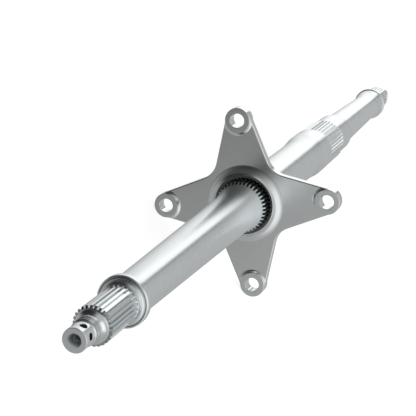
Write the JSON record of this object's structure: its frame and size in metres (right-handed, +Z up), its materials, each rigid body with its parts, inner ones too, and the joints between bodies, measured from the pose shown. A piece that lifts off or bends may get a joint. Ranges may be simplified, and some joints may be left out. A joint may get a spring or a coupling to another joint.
{
  "type": "rear axle shaft",
  "caption": "Long splined axle shaft with a bearing seat, collared wheel ends with threaded noses, and a star-shaped hub for a brake disc.",
  "frame": {"origin": "centre of the bolt holes, in the plane of the hub's front pads, on the shaft's axis", "axes": "+Y along the shaft, from the hub towards the bearing seat and the far end; +Z up, with the hub's arms at 45 degrees to it; +X to the right of someone who looks along +Y"},
  "size_m": [0.1234, 0.9576, 0.1234],
  "materials": {
    "shaft_steel": "fine turned satin",
    "hub_steel": "satin machined"
  },
  "bodies": {
    "root": {"axle_shaft": "shaft_steel", "disc_hub": "hub_steel"}
  },
  "joints": []
}
